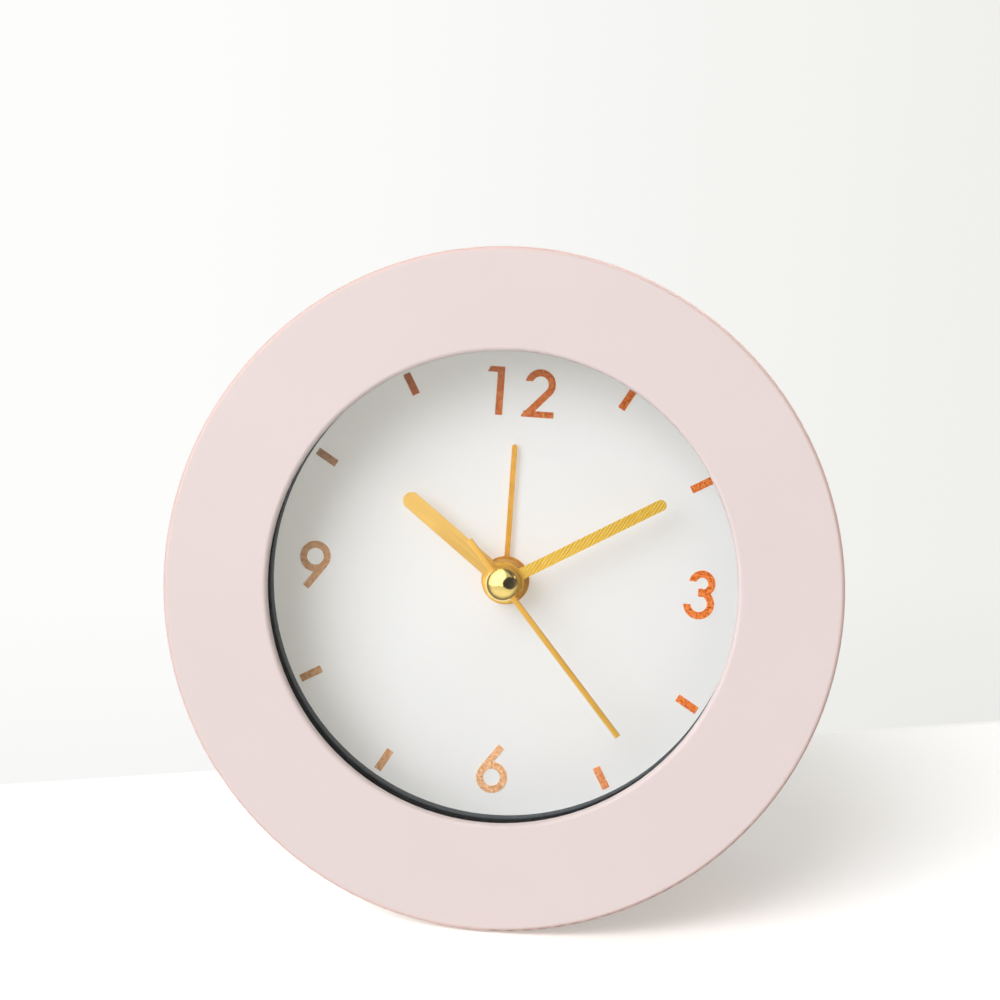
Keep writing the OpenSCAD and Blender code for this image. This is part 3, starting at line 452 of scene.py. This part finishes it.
def battery_sleeve():
    """Printed film round the cell: two plain colours, shrunk and slightly wavy."""
    m, tree, shader = new_material("cell_sleeve", Metallic=0.35)
    at = clock_coordinates(tree)
    band = spread(tree, part(tree, at, "X"), 0.0, 1.0, *SLEEVE_BAND)
    drift = noise(tree, at, 120.0)
    green = shades(tree, drift, (0.03, 0.17, 0.08), (0.05, 0.23, 0.11))
    base = mix_colour(tree, band, (0.55, 0.33, 0.1), green)
    dress(tree, shader, base, spread(tree, drift, 0.26, 0.36), drift, 2e-5)
    return m


def laminate():
    """Board of woven layers."""
    m, tree, shader = new_material("board_laminate")
    at = clock_coordinates(tree)
    weave = add(tree, "ShaderNodeTexWave", {"wave_type": "BANDS", "bands_direction": "X"},
                Vector=at, Scale=900.0, Distortion=1.0).outputs["Fac"]
    spots = noise(tree, at, 500.0)
    base = shades(tree, spots, (0.22, 0.11, 0.035), (0.32, 0.18, 0.06))
    dress(tree, shader, base, spread(tree, spots, 0.4, 0.55), weave, 5e-6)
    return m


def wound_copper():
    """Turns of enamelled wire, side by side along the coil."""
    m, tree, shader = new_material("wound_copper", Metallic=1.0)
    turns = add(tree, "ShaderNodeTexWave", {"wave_type": "BANDS", "bands_direction": "X"},
                Vector=clock_coordinates(tree), Scale=1500.0, Distortion=0.4).outputs["Fac"]
    base = shades(tree, turns, (0.2, 0.05, 0.015), (0.62, 0.22, 0.08), start=0.1, end=0.8)
    dress(tree, shader, base, spread(tree, turns, 0.5, 0.25), turns, 3e-5)
    return m


steel = metal("zinc_steel", (0.42, 0.43, 0.45), (0.6, 0.61, 0.63), 0.32, (1, 0.08, 1))
nickel = metal("nickel_plate", (0.5, 0.5, 0.5), (0.66, 0.66, 0.65), 0.26, (0.1, 1, 1))
stamped_brass = metal("stamped_brass", (0.55, 0.36, 0.11), (0.7, 0.48, 0.17), 0.34, (0.1, 1, 1))
stamped_iron = metal("stamped_iron", (0.3, 0.31, 0.33), (0.42, 0.43, 0.45), 0.4, (1, 0.1, 1))
pale_gear = plastic("gear_natural", (0.74, 0.71, 0.6), 0.42, Subsurface_Weight=0.05)
case_grey = plastic("case_grey", (0.6, 0.61, 0.585), 0.4, 1400.0, 6e-6)
black_grain = plastic("black_grain", (0.022, 0.0225, 0.024), 0.48, 2200.0, 1.2e-5, 0.1)
knob_black = plastic("knob_black", (0.026, 0.0265, 0.028), 0.36, 1500.0, 5e-6, 0.1)
resin = plastic("black_resin", (0.012, 0.012, 0.013), 0.3, 700.0, 1.5e-5, 0.1)
pink = pink_paint("pink_satin")
copper_foil = foil()

MATERIALS = {
    "front_ring": pink_paint("pink_satin_ring", True),
    "rear_housing": pink,
    "alarm_switch_slider": pink,
    "lens": glass(),
    "spacer_ring": black_gloss(),
    "dial": dial_paper(),
    "hour_numerals": copper_foil,
    "hour_bars": copper_foil,
    "second_hand_cap": polished_brass(),
    "foot_pads": plastic("pad_rubber", (0.028, 0.028, 0.029), 0.72, 1300.0, 1.5e-5, 0.12),
    "back_cover": black_grain,
    "battery_door": black_grain,
    "time_knob": knob_black,
    "alarm_knob": knob_black,
    "cover_screws": steel,
    "movement_screws": steel,
    "switch_contacts": stamped_brass,
    "alarm_contact_spring": stamped_brass,
    "movement_front_case": case_grey,
    "movement_rear_case": case_grey,
    "second_wheel": metal("machined_brass", (0.6, 0.42, 0.13), (0.74, 0.54, 0.2), 0.3, (1, 0.1, 1)),
    "rotor_magnet": plastic("sintered_magnet", (0.13, 0.135, 0.14), 0.5, 2600.0, 8e-6, 0.15,
                            Metallic=0.6),
    "stator": stamped_iron,
    "coil_core": stamped_iron,
    "coil_bobbin": plastic("bobbin_green", (0.03, 0.15, 0.095), 0.4),
    "coil_winding": wound_copper(),
    "buzzer": resin,
    "drive_chip": resin,
    "circuit_board": laminate(),
    "quartz_crystal": nickel,
    "battery_contact_positive": nickel,
    "battery_contact_negative": nickel,
    "battery_cap": nickel,
    "battery": battery_sleeve(),
    "hour_hand": satin_gold("gold_satin", HAND_ANGLES["hour_hand"], (0.7, 0.41, 0.095),
                            (0.86, 0.57, 0.175)),
    "second_hand": satin_gold("gold_second", HAND_ANGLES["second_hand"], (0.88, 0.48, 0.09),
                              (1.0, 0.67, 0.17), SECOND_HAND_HALF_WIDTH),
    "minute_hand": hatched_gold("gold_hatched", HAND_ANGLES["minute_hand"], 30, 0.00042, 9e-6,
                                ((0.74, 0.42, 0.052), (0.88, 0.55, 0.085), (0.98, 0.72, 0.165))),
    "alarm_hand": hatched_gold("gold_fine_hatch", HAND_ANGLES["alarm_hand"], 50, 0.0002, 5e-6,
                               ((0.56, 0.25, 0.025), (0.8, 0.39, 0.052), (0.92, 0.54, 0.11))),
}

# The gears are all of one pale plastic
for name, o in nodes.items():
    o.data.materials.clear()
    o.data.materials.append(MATERIALS.get(name, pale_gear))

# Stamped hands have softened edges
for name in HAND_ANGLES:
    edge = nodes[name].modifiers.new("soft_edge", "BEVEL")
    edge.width = HAND_EDGE
    edge.segments = 2
    edge.limit_method = "ANGLE"
    edge.angle_limit = math.radians(50)


# The room
def towards(side, up):
    """Direction at angles to the side and up from straight ahead of the clock, in degrees."""
    side, up = math.radians(side), math.radians(up)
    return Vector((math.sin(side) * math.cos(up), -math.cos(side) * math.cos(up), math.sin(up)))


def within(tree, direction, side, up, half_width, half_height, softness):
    """1 inside an oval of the room, 0 outside it."""
    middle = towards(side, up)
    level_way = middle.cross(Vector((0, 0, 1))).normalized()
    upward_way = level_way.cross(middle)
    squares = []
    for way, half_size in ((level_way, half_width), (upward_way, half_height)):
        offset = vector_maths(tree, "DOT_PRODUCT", direction, way / half_size)
        squares.append(number_maths(tree, "POWER", offset, 2.0))
    away = number_maths(tree, "ADD", *squares)
    inside = spread(tree, away, 1.0, 0.0, 1 - softness, 1 + softness)
    ahead = vector_maths(tree, "DOT_PRODUCT", direction, middle)
    facing = spread(tree, ahead, 0.0, 1.0, 0.0, 0.1)
    return number_maths(tree, "MULTIPLY", inside, facing)


def stepped(tree, base, pattern, amount):
    """A level plus an amount where a pattern is 1."""
    return number_maths(tree, "MULTIPLY_ADD", pattern, amount, base)


def mirrored_room(tree, direction):
    """What polished parts mirror: a bright window side and a pale table below, and to the right a
    dark doorway and a dark edge with a glint beside it."""
    window_side = stepped(tree, MIRRORED_ROOM, within(tree, direction, *GLOW), WINDOW_GLOW)
    bright_side = stepped(tree, window_side, within(tree, direction, *TABLE), TABLE_GLOW)
    dark = number_maths(tree, "MAXIMUM", within(tree, direction, *DOORWAY),
                        within(tree, direction, *DARK_EDGE))
    kept = stepped(tree, spread(tree, dark, 1.0, 0.04, 0.0, 1.0),
                   within(tree, direction, *GLINT), GLINT_GLOW)
    return number_maths(tree, "MULTIPLY", bright_side, kept)


def painted_light_backdrop_tone(tree, direction):
    """Painted light: near white at the left, towards the window, and a little greyer towards the
    right.
    """
    swept = add(tree, "ShaderNodeTexGradient", {"gradient_type": "RADIAL"}, Vector=direction)
    return shades(tree, swept.outputs["Fac"], (0.875, 0.875, 0.845), (0.93, 0.93, 0.915),
                  (0.985, 0.985, 0.975), start=0.725, end=0.785)


def floor_white():
    """Pale table, with the backdrop's tone beyond the line where the photograph has its wall."""
    m, tree = empty_material("floor_white")
    at = add(tree, "ShaderNodeTexCoord").outputs["Object"]
    rays = add(tree, "ShaderNodeLightPath").outputs
    seen_directly = rays["Is Camera Ray"]
    fine = noise(tree, at, 400.0)
    paper = shades(tree, fine, (0.85, 0.855, 0.86), (0.865, 0.87, 0.875))
    # Painted bounce light: where the ring stands, the table is tinted with the ring's pink coming
    # back from it
    painted_pink_bounce = spread(tree, vector_maths(tree, "DISTANCE", at, FOOT), 1.0, 0.0, 0.01, 0.06)
    paper = mix_colour(tree, painted_pink_bounce, paper, (0.9, 0.82, 0.77))
    # The table is seen brighter than it lights the clock, and painted light makes it brighter still
    # on the window's side
    table = add(tree, "ShaderNodeBsdfPrincipled", Specular_IOR_Level=0.2, Roughness=0.75,
                Base_Color=mix_colour(tree, seen_directly, (0.4, 0.4, 0.4), paper))
    lift_with_painted_window_light = spread(tree, part(tree, at, "X"), 3.2 * FLOOR_LIFT, FLOOR_LIFT, -0.03, 0.0)
    lift = add(tree, "ShaderNodeEmission", Color=(1.0, 0.975, 0.93, 1),
               Strength=number_maths(tree, "MULTIPLY", seen_directly, lift_with_painted_window_light))
    lit = add(tree, "ShaderNodeAddShader", i0=table.outputs[0], i1=lift.outputs[0]).outputs[0]
    # Polished metal and glass see the room carried on below the horizon
    outward = vector_maths(tree, "NORMALIZE", vector_maths(tree, "SUBTRACT", at, CENTRE))
    carried_on = add(tree, "ShaderNodeEmission", Color=ROOM_COLOUR,
                     Strength=mirrored_room(tree, outward))
    near_side = mix_shaders(tree, rays["Is Glossy Ray"], lit, carried_on.outputs[0])
    # How far a point lies behind the line
    along = (LINE_TO - LINE_FROM).normalized()
    behind = Vector((-along.y, along.x, 0))
    reach = vector_maths(tree, "DOT_PRODUCT", vector_maths(tree, "SUBTRACT", at, LINE_FROM), behind)
    past = spread(tree, reach, 0.0, 1.0, -LINE_SOFTNESS, LINE_SOFTNESS)
    foot_shade = spread(tree, reach, 0.95, 1.0, 0.0, 0.12)
    tone = painted_light_backdrop_tone(tree, vector_maths(tree, "SUBTRACT", at, STANDPOINT))
    plain = add(tree, "ShaderNodeEmission", Color=scaled(tree, tone, foot_shade), Strength=1.0)
    shown = number_maths(tree, "MULTIPLY", past, seen_directly)
    add(tree, "ShaderNodeOutputMaterial",
        Surface=mix_shaders(tree, shown, near_side, plain.outputs[0]))
    return m


def studio():
    """A soft room. Matt surfaces see it dim and brighter overhead, polished ones see the mirrored
    room, and the eye sees the backdrop."""
    world = bpy.data.worlds.new("studio")
    world.use_nodes = True
    tree = world.node_tree
    tree.nodes.clear()
    rays = add(tree, "ShaderNodeLightPath").outputs
    direction = add(tree, "ShaderNodeTexCoord").outputs["Generated"]
    lighting = stepped(tree, ROOM_LEVEL, within(tree, direction, *OVERHEAD), OVERHEAD_LIGHT)
    level = add(tree, "ShaderNodeMix", {"data_type": "FLOAT"}, i0=rays["Is Glossy Ray"],
                i2=lighting, i3=mirrored_room(tree, direction)).outputs[0]
    room = add(tree, "ShaderNodeBackground", Color=ROOM_COLOUR, Strength=level)
    seen = add(tree, "ShaderNodeBackground", Color=painted_light_backdrop_tone(tree, direction), Strength=1.0)
    add(tree, "ShaderNodeOutputWorld",
        Surface=mix_shaders(tree, rays["Is Camera Ray"], room.outputs[0], seen.outputs[0]))
    return world


scene.world = studio()
corners = [(x * FLOOR_HALF, y * FLOOR_HALF, 0) for x, y in ((-1, -1), (1, -1), (1, 1), (-1, 1))]
floor_mesh = bpy.data.meshes.new("floor")
floor_mesh.from_pydata(corners, [], [(0, 1, 2, 3)])
floor_mesh.materials.append(floor_white())
floor = bpy.data.objects.new("floor", floor_mesh)
scene.collection.objects.link(floor)


# Lamps
def lamp(name, way, power, colour=(1.0, 1.0, 1.0)):
    """A square lamp facing the clock; metals mirror the room instead of it."""
    side, up, distance, size = way
    light = bpy.data.lights.new(name, "AREA")
    light.shape = "SQUARE"
    light.size = size
    light.energy = power
    light.color = colour
    o = bpy.data.objects.new(name, light)
    scene.collection.objects.link(o)
    o.location = CENTRE + towards(side, up) * distance
    o.rotation_mode = "QUATERNION"
    o.rotation_quaternion = (-towards(side, up)).to_track_quat("-Z", "Y")
    o.visible_glossy = False
    return o


def collected(name, objects):
    collection = bpy.data.collections.new(name)
    for o in objects:
        collection.objects.link(o)
    return collection


def shine_only_on(light, objects):
    light.light_linking.receiver_collection = collected(light.name + "_receivers", objects)


# Half of the window's light passes the hands by, so their shadows stay as faint as photographed
stacked_on_dial = (*HAND_ANGLES, "second_hand_cap")
lamp("window", WINDOW, WINDOW_POWER / 2, WINDOW_COLOUR)
passing = lamp("window_past_hands", WINDOW, WINDOW_POWER / 2, WINDOW_COLOUR)
passing.light_linking.blocker_collection = collected(
    "window_blockers", [o for name, o in nodes.items() if name not in stacked_on_dial]
)
# A fill from in front that throws no shadows
lamp("fill", FILL, FILL_POWER, FILL_COLOUR).data.use_shadow = False
# A higher lamp for the floor, so the clock's shadow falls short, and one for the clock's back
shine_only_on(lamp("floor_lamp", ABOVE_FLOOR, FLOOR_LAMP_POWER), [floor])
back_lamp = lamp("back_lamp", BEHIND, BACK_POWER)
back_lamp.visible_glossy = True
shine_only_on(back_lamp, nodes.values())

# Camera at the photograph's place; the ring's centre lands a little below the middle
camera_data = bpy.data.cameras.new("camera")
camera_data.sensor_width = 36
camera_data.lens = 72
camera_data.shift_y = -0.15
camera = bpy.data.objects.new("camera", camera_data)
scene.collection.objects.link(camera)
scene.camera = camera
looking = from_clock(-0.0642, 0.0270, -0.9976).normalized()
nearly_up = from_clock(-0.0703, 0.9970, 0.0316).normalized()
rightwards = looking.cross(nearly_up).normalized()
axes = Matrix((rightwards, rightwards.cross(looking), -looking))
camera.matrix_world = Matrix.Translation(STANDPOINT) @ axes.transposed().to_4x4()

scene.view_settings.view_transform = "Standard"
